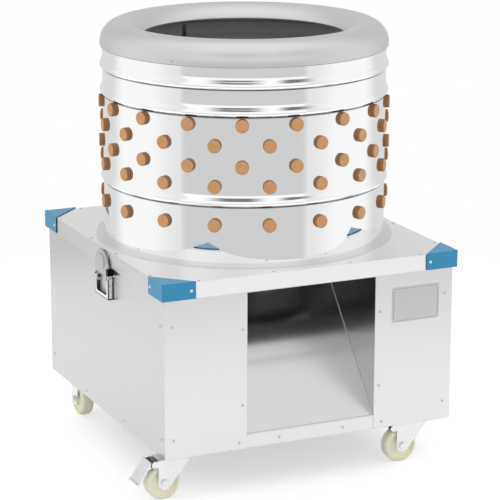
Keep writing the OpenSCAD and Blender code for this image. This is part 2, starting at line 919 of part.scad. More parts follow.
// Claw: a domed plate with a rim, a raised oval, a hook lip, two pivot arms and a thumb tab
module latch_claw() {
    face_x = -half_w - latch_out;
    w = lever_w - 2;
    low = latch_pz + 6.5;
    arm_y = lever_w / 2 - 12;
    arm_t = 3;
    lip_x = -lid_x - keeper_out - hook_gap;
    arm_in = latch_px - latch_pin_r - 2;
    oval_z = (low + z_lid) / 2;
    color("gainsboro") translate([0, latch_y, 0]) {
        translate([face_x + latch_sheet / 2, 0, 0]) across_x(latch_sheet) claw_outline(0);
        translate([(face_x + lip_x) / 2, 0, 0]) across_x(lip_x - face_x) difference() {
            claw_outline(0);
            claw_outline(2);
        }
        translate([face_x - 0.75, 0, oval_z]) across_x(2.5) round_rect(w * 0.5, (z_lid - low) * 0.6, w * 0.2);
        box([face_x, -w / 4, z_lid - 12], [lip_x, w / 4, z_lid - 10]);
        both_y() translate([0, arm_y, 0]) across_y(arm_t) {
            translate([latch_px + claw_dx, latch_pz + claw_dz]) circle(3.5);
            translate([face_x, latch_pz + claw_dz]) square([arm_in - face_x, low + 6 - latch_pz - claw_dz]);
        }
        both_y() translate([latch_px + claw_dx, arm_y, latch_pz + claw_dz]) rotate([-90, 0, 0])
            cylinder(r = 2 - run, h = w / 2 - arm_y);
    }
    color("black") translate([0, latch_y, 0])
        box([face_x - 4, -w / 2 - 9, low + 4], [-half_w - 1.5, 1 - w / 2, low + 18]);
}

// Keeper on the lid's skirt, with a lip for the claw
module latch_keeper() {
    w = lever_w * 0.6;
    color("silver") translate([0, latch_y, 0]) {
        box([-lid_x - latch_sheet, -w / 2, z_skirt + 4], [-lid_x, w / 2, z_lid - 4]);
        box([-lid_x - keeper_out, -w / 2, z_lid - 18], [-lid_x - 1, w / 2, z_lid - 15]);
    }
}

// Hinges

// One hinge's barrel pieces along Y, between two stations
module barrel(y0, y1) {
    translate([hinge_x, y0, hinge_z]) rotate([-90, 0, 0]) cylinder(r = hinge_r, h = y1 - y0);
}

module pin_hole() {
    translate([hinge_x, -hinge_w, hinge_z]) rotate([-90, 0, 0])
        cylinder(d = hinge_pin_d + 2 * run, h = 2 * hinge_w);
}

// Cabinet leaves: a packing pad, a leaf and the outer thirds of the barrel
module hinge_leaves() {
    leaf_t = 2;
    third = hinge_w / 6;
    color("silver") both_y() translate([0, hinge_y, 0]) {
        difference() {
            union() {
                box([lid_x, -hinge_w / 2, hinge_z - leaf_h],
                    [lid_x + leaf_t, hinge_w / 2, hinge_z - hinge_r - gap]);
                for (y = [[-hinge_w / 2, -third - gap], [third + gap, hinge_w / 2]]) {
                    barrel(y[0], y[1]);
                    box([lid_x, y[0], hinge_z - hinge_r - 2], [hinge_x - 1, y[1], hinge_z]);
                }
            }
            pin_hole();
        }
        box([half_w, -hinge_w / 2, hinge_z - leaf_h], [lid_x, hinge_w / 2, hinge_z - hinge_r - gap]);
    }
    color("dimgray") hinge_pins();
}

// Lid leaves: a leaf on the skirt and the middle third of the barrel
module lid_hinge_leaves() {
    leaf_t = 2;
    third = hinge_w / 6;
    color("silver") both_y() translate([0, hinge_y, 0]) difference() {
        union() {
            box([lid_x, -hinge_w / 2, hinge_z + hinge_r + gap],
                [lid_x + leaf_t, hinge_w / 2, hinge_z + leaf_h]);
            barrel(-third, third);
            box([lid_x, -third, hinge_z], [hinge_x - 1, third, hinge_z + hinge_r + 2]);
        }
        pin_hole();
    }
}

module hinge_pins() {
    head_t = 2;
    both_y() translate([hinge_x, hinge_y, hinge_z]) rotate([90, 0, 0]) {
        cylinder(d = hinge_pin_d, h = hinge_w + 2 * head_t, center = true);
        for (s = [-1, 1])
            translate([0, 0, s * (hinge_w / 2 + run + head_t / 2)])
                cylinder(r = hinge_r - 1, h = head_t, center = true);
    }
}

// Switch box

module switch_box() {
    pocket = button_out + 4;
    color("dimgray") difference() {
        translate([half_w, switch_y, switch_z]) rotate([90, 0, 90]) linear_extrude(switch_depth)
            round_rect(switch_w, switch_h, 8);
        for (s = [-1, 1])
            translate([switch_x - pocket, switch_y + s * button_dy, switch_z])
                rotate([0, 90, 0]) cylinder(d = button_d + 2 * run, h = pocket + 1);
        translate([half_w + switch_depth / 2, switch_y, switch_z - switch_h / 2 - 1])
            cylinder(d = gland_bore, h = 12);
    }
}

module button(s) {
    inside = button_out;
    translate([switch_x - inside, switch_y + s * button_dy, switch_z]) rotate([0, 90, 0]) rotate_extrude() {
        square([button_d / 2, inside + button_out - 2]);
        square([button_d / 2 - 2, inside + button_out]);
        translate([button_d / 2 - 2, inside + button_out - 2]) intersection() {
            circle(2);
            square(2);
        }
    }
}

module start_button() {
    color("green") button(-1);
}

module stop_button() {
    color("red") button(1);
}

module cable_gland() {
    nut_h = 8;
    foot = switch_z - switch_h / 2 - gland_len;
    color("black") translate([half_w + switch_depth / 2, switch_y, foot]) difference() {
        union() {
            translate([0, 0, gland_len - nut_h]) cylinder(r = gland_bore / 2 + 7, h = nut_h, $fn = 6);
            cylinder(r = gland_bore / 2 + 4.5, h = gland_len - nut_h + 1);
        }
        translate([0, 0, -1]) cylinder(d = gland_bore, h = gland_len + 2);
    }
}

// Casters

// Where the tangent from a point meets the round end of a leg
function leg_tangent(from, mid) =
    let (d = from - mid, a = atan2(d[1], d[0]) - acos(leg_r / norm(d)))
    mid + leg_r * [cos(a), sin(a)];

// Outline of a fork leg from its bridge down to the axle, in X and Z about the kingpin
module fork_leg(axle_x, left, right, z_top) {
    mid = [axle_x, wheel_r];
    from = [right, z_top - 2];
    translate(mid) circle(leg_r);
    polygon([[left, z_top], [right, z_top], from, leg_tangent(from, mid), mid, [left, wheel_r]]);
}

// Top plates of all casters, with the race and kingpin of the swivel pair
module caster_plates() {
    plate_x = 96;
    plate_y = 80;
    nut_h = 5;
    color("lightgray") {
        both_x() both_y() translate([king_x, king_y, z_cab - plate_t / 2])
            linear_extrude(plate_t, center = true) round_rect(plate_x, plate_y, 8);
        both_x() translate([king_x, -king_y, 0]) {
            translate([0, 0, z_race]) cylinder(r = 27, h = z_cab - plate_t - z_race);
            translate([0, 0, z_fork - gap - nut_h])
                cylinder(r = king_r, h = z_race - z_fork + gap + nut_h + 1);
            translate([0, 0, z_fork - gap - nut_h]) cylinder(r = king_r + 4, h = nut_h, $fn = 6);
        }
    }
}

// Swivel fork about its kingpin: bridge with a race, two legs and ears for the pedal's pin
module swivel_fork() {
    ear_r = 7;
    legs_w = fork_in + fork_t / 2;
    left = -caster_trail - leg_r;
    color("lightgray") difference() {
        union() {
            box([left, -fork_in - fork_t, z_fork], [18, fork_in + fork_t, z_fork + fork_t]);
            translate([0, 0, z_fork]) cylinder(r = 25, h = z_race - gap - z_fork);
            both_y() translate([0, legs_w, 0]) across_y(fork_t) {
                fork_leg(-caster_trail, left, 18, z_fork + fork_t);
                translate([pedal_px, pedal_pz]) circle(ear_r);
                translate([pedal_px, pedal_pz - ear_r]) square([left - pedal_px + 4, 2 * ear_r]);
            }
            translate([pedal_px, 0, pedal_pz]) rotate([90, 0, 0])
                cylinder(r = 3, h = 2 * (fork_in + fork_t), center = true);
        }
        translate([0, 0, z_fork - 1]) cylinder(r = king_r + run, h = 20);
        translate([-caster_trail, 0, wheel_r]) rotate([90, 0, 0])
            cylinder(r = axle_r + run, h = 4 * fork_in, center = true);
    }
}

// Axle bolt along Y with a head and a nut outside the fork
module axle() {
    outside = fork_in + fork_t;
    color("silver") rotate([90, 0, 0]) {
        cylinder(r = axle_r, h = 2 * outside + 2, center = true);
        for (s = [-1, 1])
            translate([0, 0, s * (outside + run + 2.5)]) cylinder(r = axle_r + 3, h = 5, center = true);
    }
}

// Wheel about Y: a rounded tread, recessed sides, a hub and a bore
module wheel() {
    round_r = 8;
    hub_r = 13;
    dish_r = wheel_r - 9;
    dish = 4;
    color("wheat") rotate([90, 0, 0]) rotate_extrude() difference() {
        union() {
            translate([0, -wheel_w / 2]) square([wheel_r - round_r, wheel_w]);
            translate([0, round_r - wheel_w / 2]) square([wheel_r, wheel_w - 2 * round_r]);
            for (s = [-1, 1])
                translate([wheel_r - round_r, s * (wheel_w / 2 - round_r)]) circle(round_r);
            translate([0, gap - fork_in]) square([hub_r, 2 * (fork_in - gap)]);
        }
        translate([-1, -wheel_w]) square([1 + axle_r + run, 2 * wheel_w]);
        for (s = [0, 1])
            mirror([0, s]) translate([hub_r, wheel_w / 2 - dish]) square([dish_r - hub_r, wheel_w]);
    }
}

// Brake pedal about its pin: a barrel, two lugs and a wide plate with a rolled end
module brake_pedal() {
    top = [-10, 8.5];
    end = [-38, -38];
    along = (end - top) / norm(end - top);
    across = pedal_t * [along[1], -along[0]];
    barrel_r = 5.5;
    lug = 3;
    color("lightgray") difference() {
        union() {
            rotate([90, 0, 0]) cylinder(r = barrel_r, h = 2 * (fork_in - gap), center = true);
            across_y(pedal_w) polygon([top, end, end - across, top - across]);
            translate([end[0], 0, end[1]]) rotate([90, 0, 0]) cylinder(r = 3.2, h = pedal_w, center = true);
            both_y() translate([0, fork_in - gap - lug, 0]) across_y(lug) polygon([
                [0, barrel_r - 0.5], top, top + 0.5 * (end - top), [0, 0.5 - barrel_r]
            ]);
        }
        rotate([90, 0, 0]) cylinder(r = 3 + run, h = 2 * pedal_w, center = true);
    }
}

module at_king(side) {
    translate([side * king_x, -king_y, 0]) children();
}

module at_front_axle(side) {
    at_king(side) translate([-caster_trail, 0, wheel_r]) children();
}

// A swivel fork and its axle bolt
module front_fork(side) {
    at_king(side) swivel_fork();
    at_front_axle(side) axle();
}

module left_fork() {
    front_fork(-1);
}

module right_fork() {
    front_fork(1);
}

module front_wheel_left() {
    at_front_axle(-1) wheel();
}

module front_wheel_right() {
    at_front_axle(1) wheel();
}

module left_pedal() {
    at_king(-1) translate([pedal_px, 0, pedal_pz]) brake_pedal();
}

module right_pedal() {
    at_king(1) translate([pedal_px, 0, pedal_pz]) rotate([0, pedal_lift, 0]) brake_pedal();
}

// Rigid forks under the back corners with their axle bolts, along X
module rear_forks() {
    z_top = z_cab - plate_t;
    at_rear_axle(-1) axle();
    at_rear_axle(1) axle();
    color("lightgray") both_x() translate([king_x, king_y, 0]) difference() {
        union() {
            box([-fork_in - fork_t, -rear_leg, z_top - fork_t], [fork_in + fork_t, rear_leg, z_top]);
            both_x() translate([fork_in + fork_t / 2, 0, 0]) across_x(fork_t) {
                fork_leg(0, -leg_r, rear_leg, z_top);
                mirror([1, 0]) fork_leg(0, -leg_r, rear_leg, z_top);
            }
        }
        translate([0, 0, wheel_r]) rotate([0, 90, 0])
            cylinder(r = axle_r + run, h = 4 * fork_in, center = true);
    }
}

module at_rear_axle(side) {
    translate([side * king_x, king_y, wheel_r]) rotate([0, 0, 90]) children();
}

module rear_wheel_left() {
    at_rear_axle(-1) wheel();
}

module rear_wheel_right() {
    at_rear_axle(1) wheel();
}

bottom_frame();
corner_posts();
top_frame();
left_panel();
right_panel();
back_panel();
front_left_panel();
front_right_panel();
front_sill();
front_header();
chute_floor();
chute_sides();
drum_floor();
lid_seal();
panel_screws();
bearing_bridge();
bearing_housing();
shaft_bearings();
motor();
motor_bridge();
drive_belt();
switch_box();
cable_gland();
latch_base();
hinge_leaves();
caster_plates();
rear_forks();
lid();
corner_caps();
cap_rivets();
drum_flange();
drum_shell();
top_ring();
finger_row_a();
finger_row_b();
finger_row_c();
finger_row_d();
finger_row_e();
latch_keeper();
lid_hinge_leaves();
rotor_shaft();
rotor_hub();
rotor_plate();
rotor_fingers();
rotor_nut();
driven_pulley();
motor_pulley();
latch_lever();
latch_claw();
start_button();
stop_button();
left_fork();
right_fork();
left_pedal();
right_pedal();
front_wheel_left();
front_wheel_right();
rear_wheel_left();
rear_wheel_right();
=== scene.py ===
import math

import bmesh
import bpy
from mathutils import Matrix, Vector


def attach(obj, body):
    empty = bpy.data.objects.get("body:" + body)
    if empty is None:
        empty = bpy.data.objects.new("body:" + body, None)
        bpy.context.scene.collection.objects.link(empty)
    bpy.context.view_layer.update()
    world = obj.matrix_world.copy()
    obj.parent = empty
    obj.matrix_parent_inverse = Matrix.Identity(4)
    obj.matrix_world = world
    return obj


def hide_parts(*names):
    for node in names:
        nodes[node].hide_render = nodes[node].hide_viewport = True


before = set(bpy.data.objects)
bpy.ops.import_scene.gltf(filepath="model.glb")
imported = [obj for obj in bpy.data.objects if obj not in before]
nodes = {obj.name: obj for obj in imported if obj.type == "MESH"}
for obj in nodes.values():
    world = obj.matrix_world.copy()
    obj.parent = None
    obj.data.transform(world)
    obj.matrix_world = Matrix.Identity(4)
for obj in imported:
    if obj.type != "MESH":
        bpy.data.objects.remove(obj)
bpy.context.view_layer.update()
scene = bpy.context.scene


def extent(name, axis, end):
    """Where a node ends along an axis, at its low end with min or its high end with max, to a micrometre."""
    return round(end(corner["xyz".index(axis)] for corner in nodes[name].bound_box), 6)


# Sizes read from the part's nodes, in metres, with heights above the ground
LID_X, LID_Z, SKIRT_Z = extent("lid", "x", max), extent("lid", "z", max), extent("lid", "z", min)
HALF_W, HALF_D = extent("right_panel", "x", max), extent("back_panel", "y", max)
CAB_Z, SILL_Y = extent("back_panel", "z", min), extent("front_sill", "y", min)
RING_R, RING_Z = extent("top_ring", "x", max), extent("top_ring", "z", min)
DRUM_H = RING_Z - LID_Z
ROTOR_TOP, FLOOR_LOW = extent("rotor_plate", "z", max), extent("drum_floor", "z", min)
LATCH_Y = (extent("latch_lever", "y", min) + extent("latch_lever", "y", max)) / 2.0
LEVER_HALF, LEVER_LOW = extent("latch_lever", "y", max) - LATCH_Y, extent("latch_lever", "z", min)
CLAW_HALF = extent("latch_claw", "y", max) - LATCH_Y

# Places on nodes: the lever's middle, the claw's plate, the pedals' pins, the drum floor's top and front
LEVER_X, CLAW_LOW = -0.3362, 0.4175
PIN_X, PIN_Z = (-0.339, 0.215), 0.0827
FLOOR_T, FLOOR_FRONT = 0.002, -0.2995
FLOOR_TOP = FLOOR_LOW + FLOOR_T

# Drum wall, with the middle of each bead above the lid and a skew that makes the beads lopsided
DRUM_R, WALL = 0.304, 0.002
BEADS, BEAD_W, BEAD_OUT, BEAD_SKEW = (0.13625, 0.323, 0.379), 0.026, 0.0055, -0.35
BEAD_STEPS = 40

# Top ring: crest, throat, upright lip, radius of the rolled edges and dish for its width
CREST_R, THROAT_R, RING_LIP, ROLL, DISH = 0.266, 0.215, 0.009, 0.0035, 0.54

# Screws: head and cross slot, distance from a panel's edge, and places beside the outlet and on the sill
SCREW_R, SCREW_H, SLOT_SIZE, SLOT_TURNS = 0.0035, 0.002, (0.0040, 0.0009, 0.0003), (25.0, 115.0)
SCREW_EDGE, OUTLET_SCREW_X, SILL_SCREW_X = 0.018, 0.158, 0.0735

# Rivets on the lid, as places in one quarter, and on the ring's lip, as degrees round from the front
LID_RIVETS = ((0.087, 0.338), (0.253, 0.338), (0.328, 0.262), (0.328, 0.074))
LID_RIVET_R, LID_RIVET_H = 0.003, 0.001
RIM_RIVETS, RIM_RIVET_R, RIM_RIVET_H = (-52.824, 46.876, 127.176, 226.876), 0.0028, 0.0012
RIM_RIVET_UP, RIM_RIVET_SUNK = 0.0075, 0.0002

# Weld seam in the drum: middle and half width as turns, thickness, depth in the wall, gaps below and above
SEAM_MID, SEAM_HALF, SEAM_T, SEAM_ROOT = math.radians(92.2), math.radians(0.95), 0.0009, 0.0006
SEAM_FOOT, SEAM_HEAD = 0.004, 0.001

# Chute: edge strip on its front lip, and the ends and ripples of the weld along each side
LIP_MID, LIP_SIZE, LIP_ROUND = (0.0, -0.33765, 0.1298), (0.293, 0.0049, 0.0024), 0.0006
CHUTE_X, CHUTE_FOOT, CHUTE_HEAD = extent("chute_floor", "x", max), (-0.3352, 0.1309), (-0.0799, 0.4350)
WELD_IN, WELD_R, WELD_RIPPLE, WELD_STEPS = 0.0003, 0.0008, 0.0002, 120

# Data plate: middle, size, rounded corners, and how far in its painted line and its rivets are
PLATE_X, PLATE_Z, PLATE_W, PLATE_H, PLATE_T, PLATE_ROUND = 0.2425, 0.367, 0.112, 0.076, 0.0008, 0.002
PLATE_LINE_IN, PLATE_RIVET_IN, PLATE_RIVET_R, PLATE_RIVET_H = 0.003, 0.005, 0.0015, 0.0006

# Widths and margins of what is painted on
TAB_GAP, TAB_UP = 0.0002, 0.003
LEVER_RIM, LEVER_CORE, LEVER_FOOT, LEVER_SKIN = 0.0022, 0.0034, 0.0035, 0.0004
PIN_BLACK_R = 0.0105
CREASE_UP, CREASE_CORE, CREASE_REACH = 0.0010, 0.0012, (0.0032, 0.0036, 0.0028)
HEAD_IN, HEAD_DUSKY, HEAD_PLAIN = 0.001, 0.0070, 0.0085
FLOOR_SKIN, ROTOR_SKIN, SKIRT_SKIN = 0.0008, 0.0015, 0.0001
# Margins of the painted shadow line at the ring's foot
FOOT_DARK, FOOT_UNSHADED = 0.0010, 0.0028

# Camera, worked out from the photograph
CAM_AZ, CAM_EL = math.radians(-24.624), math.radians(14.649)
CAM_ROLL, CAM_FAR, CAM_TARGET = math.radians(0.095), 4.854, (0.0144, 0.0, 0.4252)
SENSOR, FOCUS, PHOTO_SIDE = 36.0, 2212.3, 500.0

# Studio: the floor, and how bright each part of the surroundings is
FLOOR_R, FLOOR_GLOW, FLOOR_GREYS = 1.7, 0.50, ((0.69, 0.69, 0.69), (0.71, 0.71, 0.71))
CARD_FOOT, CARD, WALL_NEAR, WALL_SIDE, WALL_FAR, BARS, CEILING = 0.66, 1.05, 0.84, 1.0, 0.74, 0.20, 1.16


class Graph:
    """A node tree, with short calls for the nodes used here."""

    def __init__(self, tree):
        self.tree = tree
        tree.nodes.clear()

    def put(self, socket, value):
        """Links a socket to another one, or sets its value."""
        if isinstance(value, bpy.types.NodeSocket):
            self.tree.links.new(value, socket)
        else:
            socket.default_value = value

    def add(self, kind, props=None, **inputs):
        """A new node with some inputs set by name."""
        node = self.tree.nodes.new(kind)
        for key, value in (props or {}).items():
            setattr(node, key, value)
        for key, value in inputs.items():
            self.put(node.inputs[key.replace("_", " ")], value)
        return node

    def fill(self, node, values):
        """Sets inputs by their number, for nodes whose inputs share a name."""
        for number, value in values.items():
            self.put(node.inputs[number], value)

    def math(self, kind, a, b=0.0):
        node = self.add("ShaderNodeMath", {"operation": kind})
        self.fill(node, {0: a, 1: b})
        return node.outputs[0]

    def times(self, a, b):
        return self.math("MULTIPLY", a, b)

    def minus(self, a, b):
        return self.math("SUBTRACT", a, b)

    def apart(self, a, b):
        return self.math("ABSOLUTE", self.minus(a, b))

    def larger(self, a, b):
        return self.math("MAXIMUM", a, b)

    def under(self, a, limit):
        return self.math("LESS_THAN", a, limit)

    def over(self, a, limit):
        return self.math("GREATER_THAN", a, limit)

    def length(self, a, b):
        return self.math("SQRT", self.math("ADD", self.times(a, a), self.times(b, b)))

    def mix(self, share, a, b):
        """A colour between two."""
        node = self.add("ShaderNodeMix", {"data_type": "RGBA"})
        self.fill(node, {0: share, 6: a, 7: b})
        return node.outputs[2]

    def blend(self, share, a, b):
        """A number between two."""
        node = self.add("ShaderNodeMix", {"data_type": "FLOAT"})
        self.fill(node, {0: share, 2: a, 3: b})
        return node.outputs[0]

    def span(self, value, low, high, start=0.3, end=0.7, kind="LINEAR"):
        """Runs from low to high while a value runs from start to end."""
        node = self.add("ShaderNodeMapRange", {"interpolation_type": kind}, Value=value, From_Min=start,
                        From_Max=end, To_Min=low, To_Max=high)
        return node.outputs[0]

    def ramp(self, value, start, end, low=0.0, high=1.0):
        """The same with soft ends."""
        return self.span(value, low, high, start, end, "SMOOTHSTEP")

    def axes(self, source="Object"):
        """X, Y and Z of a texture coordinate."""
        where = self.add("ShaderNodeTexCoord").outputs[source]
        return self.add("ShaderNodeSeparateXYZ", Vector=where).outputs[:]

    def noise(self, scale, detail=3.0, rough=0.5, stretch=None):
        where = self.add("ShaderNodeTexCoord").outputs["Object"]
        if stretch:
            where = self.add("ShaderNodeMapping", Vector=where, Scale=stretch).outputs[0]
        node = self.add("ShaderNodeTexNoise", Vector=where, Scale=scale, Detail=detail, Roughness=rough)
        return node.outputs[0]


def rgb(values, gain=1.0):
    return tuple(min(1.0, v * gain) for v in values) + (1.0,)


def new_material(name):
    mat = bpy.data.materials.new(name)
    mat.use_nodes = True
    return mat, Graph(mat.node_tree)


def surface(name, color, rough, metal=0.0, tint=0.05, cloud=9.0, grain=None, fine=600.0, bump=0.06,
            vary=0.05, edge=0.0, spec=0.5, spots=None, paint=None, depth=0.0004, brush=None):
    """A finish with cloudy colour, uneven roughness, fine relief and softened edges."""
    mat, graph = new_material(name)
    clouds = graph.noise(cloud, 4.0, 0.6)
    tone = graph.mix(graph.span(clouds, 0.0, 1.0), rgb(color, 1.0 - tint), rgb(color, 1.0 + tint))
    if spots:
        shade, scale, low, high = spots
        tone = graph.mix(graph.span(graph.noise(scale, 5.0, 0.65), 0.0, 1.0, low, high), tone, rgb(shade))
    if paint:
        tone = paint(graph, tone)
    relief = graph.noise(1.0 if grain else fine, 3.0, 0.6, grain)
    uneven = graph.math("ADD", graph.times(clouds, 0.6), graph.times(relief, 0.4))
    rough_map = graph.span(uneven, max(0.02, rough - vary), rough + vary)
    shader = graph.add("ShaderNodeBsdfPrincipled", Base_Color=tone, Metallic=metal, Roughness=rough_map,
                       Specular_IOR_Level=spec)
    if brush:
        tangent = graph.add("ShaderNodeCombineXYZ", X=brush[0], Y=brush[1], Z=brush[2]).outputs[0]
        graph.put(shader.inputs["Anisotropic"], 0.8)
        graph.put(shader.inputs["Tangent"], tangent)
    lift = graph.add("ShaderNodeBump", Height=relief, Strength=bump, Distance=depth)
    if edge:
        soft = graph.add("ShaderNodeBevel", {"samples": 4}, Radius=edge)
        graph.put(lift.inputs["Normal"], soft.outputs[0])
    graph.put(shader.inputs["Normal"], lift.outputs[0])
    graph.add("ShaderNodeOutputMaterial", Surface=shader.outputs[0])
    return mat


# Colours
STEEL = (0.74, 0.74, 0.745)
BARE = (0.58, 0.58, 0.585)
# Painted light under the drum's floor in front of the outlet
PAINTED_LIGHT = (0.95, 0.95, 0.955)
# Painted shade on the lid's left skirt
SHADED_SKIRT = (0.66, 0.66, 0.665)
# Painted shade on the latch lever's flanks
SHADED_FLANK = (0.24, 0.24, 0.245)
PLATE_LINE = (0.30, 0.30, 0.31)
# Painted shade line round the lever's face and at the ring's foot
SHADE_LINE = (0.10, 0.10, 0.103)
# Painted shade and reflection in the creases under the drum's beads
CREASE_SHADE = (0.03, 0.03, 0.032)
BLACK_PIN = (0.03, 0.03, 0.031)
BLACK_TAB = (0.012, 0.012, 0.013)
DUSKY_RUBBER = (0.20, 0.095, 0.045)
# Painted shade on the corner caps' cut edges
SHADED_CAP_BLUE = (0.010, 0.035, 0.070)


def black_tab(graph, tone):
    """The claw's thumb tab is black; the rest keeps its metal colour."""
    y, z = graph.axes()[1:]
    beside = graph.under(y, LATCH_Y - CLAW_HALF - TAB_GAP)
    above = graph.over(z, CLAW_LOW + TAB_UP)
    return graph.mix(graph.times(beside, above), tone, rgb(BLACK_TAB))


def lever_painted_shade(graph, tone):
    """The lever's flanks are painted darker as shade, with a light middle, and its face has a painted shade
    line round the edge.
    """
    light = tone
    x, y, z = graph.axes()
    across = graph.math("ABSOLUTE", graph.axes("Normal")[0])
    tone = graph.mix(graph.under(across, 0.5), tone, rgb(SHADED_FLANK))
    beside = graph.minus(graph.apart(y, LATCH_Y), LEVER_HALF)
    below = graph.minus(LEVER_LOW, z)
    rim = graph.over(graph.larger(beside, below), -LEVER_RIM)
    tone = graph.mix(rim, tone, rgb(SHADE_LINE))
    middle = graph.times(graph.under(graph.apart(x, LEVER_X), LEVER_CORE), graph.under(below, -LEVER_FOOT))
    return graph.mix(graph.times(middle, graph.over(beside, -LEVER_SKIN)), tone, light)


def black_pivot(graph, tone):
    """A brake pedal is black round its pin."""
    x, z = graph.axes()[::2]
    side = graph.math("MINIMUM", graph.apart(x, PIN_X[0]), graph.apart(x, PIN_X[1]))
    far = graph.length(side, graph.minus(z, PIN_Z))
    return graph.mix(graph.under(far, PIN_BLACK_R), tone, rgb(BLACK_PIN))


def bead_crease_shade(graph, tone):
    """A thin dark line of painted shade and reflection where the lower edge of each bead meets the wall."""
    height = graph.axes()[2]
    for middle, reach in zip(BEADS, CREASE_REACH):
        off = graph.apart(height, LID_Z + middle - BEAD_W / 2.0 + CREASE_UP)
        line = graph.span(off, 1.0, 0.0, CREASE_CORE, reach)
        broken = graph.times(line, graph.span(graph.noise(14.0), 0.75, 1.0))
        tone = graph.mix(broken, tone, rgb(CREASE_SHADE))
    return tone


def dark_flanks(graph, tone):
    """A finger's head is darker on its flank near the drum than at its end."""
    x, y = graph.axes()[:2]
    radius = graph.length(x, y)
    outside = graph.over(radius, DRUM_R - HEAD_IN)
    flank = graph.times(outside, graph.span(radius, 1.0, 0.0, DRUM_R + HEAD_DUSKY, DRUM_R + HEAD_PLAIN))
    return graph.mix(graph.times(flank, 0.75), tone, rgb(DUSKY_RUBBER))


def shaded_left_skirt(graph, tone):
    """The lid's left skirt is painted darker than the rest of the lid, as shade."""
    return graph.mix(graph.under(graph.axes()[0], SKIRT_SKIN - LID_X), tone, rgb(SHADED_SKIRT))


def shaded_cap_edges(graph, tone):
    """The cut edges of a corner cap, which look towards the drum, are painted dark as shade."""
    nx, ny = graph.axes("Normal")[:2]
    x, y = graph.axes()[:2]
    outward = graph.math("ADD", graph.times(nx, x), graph.times(ny, y))
    return graph.mix(graph.under(outward, -0.05), tone, rgb(SHADED_CAP_BLUE))


def floor_light_and_shade(graph, tone):
    """The drum's floor is bare on top; below, it is painted light in front of the outlet and painted dark as
    shade further back.
    """
    y, z = graph.axes()[1:]
    tone = graph.mix(graph.under(y, FLOOR_FRONT), tone, rgb(PAINTED_LIGHT))
    return graph.mix(graph.over(z, FLOOR_TOP - FLOOR_SKIN), tone, rgb(BARE))


def rotor_underside_shade(graph, tone):
    """The rotor's plate is bare on top and painted dark below as shade."""
    return graph.mix(graph.over(graph.axes()[2], ROTOR_TOP - ROTOR_SKIN), tone, rgb(BARE))


def ring_foot_shadow(graph, tone):
    """A painted shadow line on the ring's lower edge, where it meets the drum."""
    share = graph.span(graph.axes()[2], 0.8, 0.0, RING_Z + FOOT_DARK, RING_Z + FOOT_UNSHADED)
    return graph.mix(share, tone, rgb(SHADE_LINE))


def plate_frame(graph, tone):
    """A thin dark line just inside the data plate's edge."""
    x, z = graph.axes()[::2]
    across = graph.math("DIVIDE", graph.apart(x, PLATE_X), PLATE_W / 2.0 - PLATE_LINE_IN)
    along = graph.math("DIVIDE", graph.apart(z, PLATE_Z), PLATE_H / 2.0 - PLATE_LINE_IN)
    edge = graph.larger(across, along)
    line = graph.times(graph.over(edge, 0.975), graph.under(edge, 1.0))
    return graph.mix(line, tone, rgb(PLATE_LINE))


# Finishes, with the settings that several of them share
ALONG_X, ALONG_Y = (6.0, 700.0, 700.0), (700.0, 6.0, 700.0)
SHEET = dict(metal=1.0, tint=0.008, cloud=3.0, bump=0.02, vary=0.02, edge=0.0016)
CHUTE = dict(metal=1.0, tint=0.02, cloud=5.0, vary=0.02)
PLATED = dict(tint=0.05, cloud=30.0, fine=250.0)
CASTER = dict(metal=1.0, bump=0.05, vary=0.08, edge=0.0008, **PLATED)
BUTTON = dict(cloud=40.0, bump=0.05, edge=0.001)

